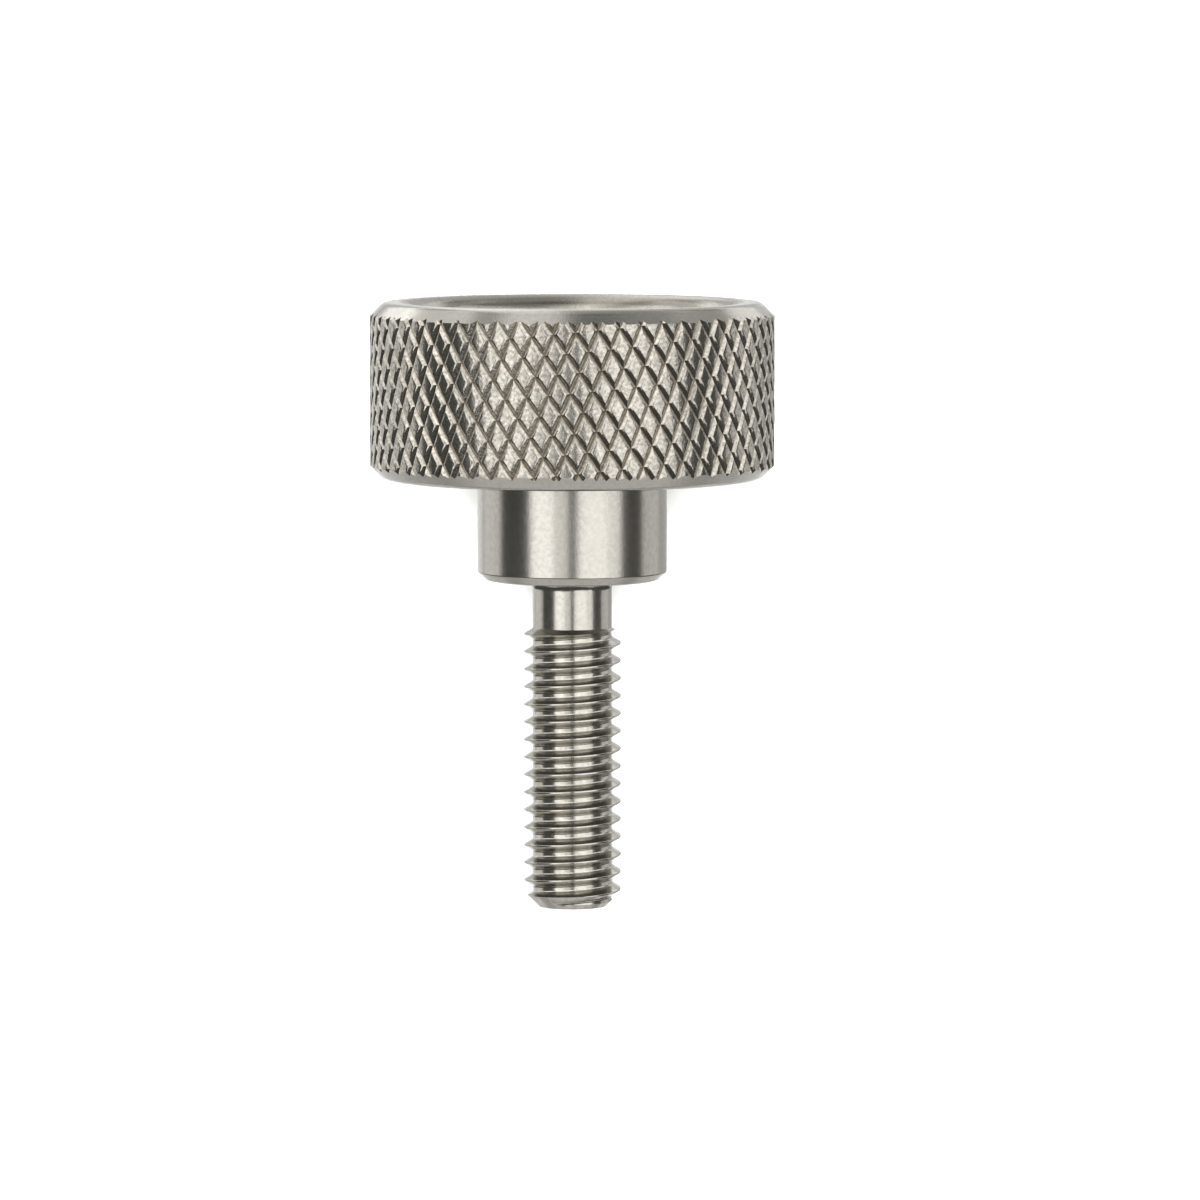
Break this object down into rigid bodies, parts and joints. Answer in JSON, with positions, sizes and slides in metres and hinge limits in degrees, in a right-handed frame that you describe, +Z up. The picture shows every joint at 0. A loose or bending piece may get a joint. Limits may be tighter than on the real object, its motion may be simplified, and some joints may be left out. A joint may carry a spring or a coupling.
{
  "type": "thumb screw",
  "caption": "Stainless steel thumb screw with a diamond-knurled, recessed round head, a plain collar and a metric threaded shank.",
  "frame": {"origin": "on the table under the middle of the screw's overall length and width, as it lies on its side", "axes": "+Z up from the table; the screw's own axis lies in the YZ plane, from its tip at the -Y end up to its head at the +Y end, at 19.8 degrees to the table; +X is across the screw"},
  "size_m": [0.016, 0.0256, 0.017],
  "materials": {
    "stainless_steel": "fine-turned stainless steel, satin, with a crisp rolled diamond knurl and bright thread flanks"
  },
  "bodies": {
    "root": {"thumb_screw": "stainless_steel"}
  },
  "joints": []
}
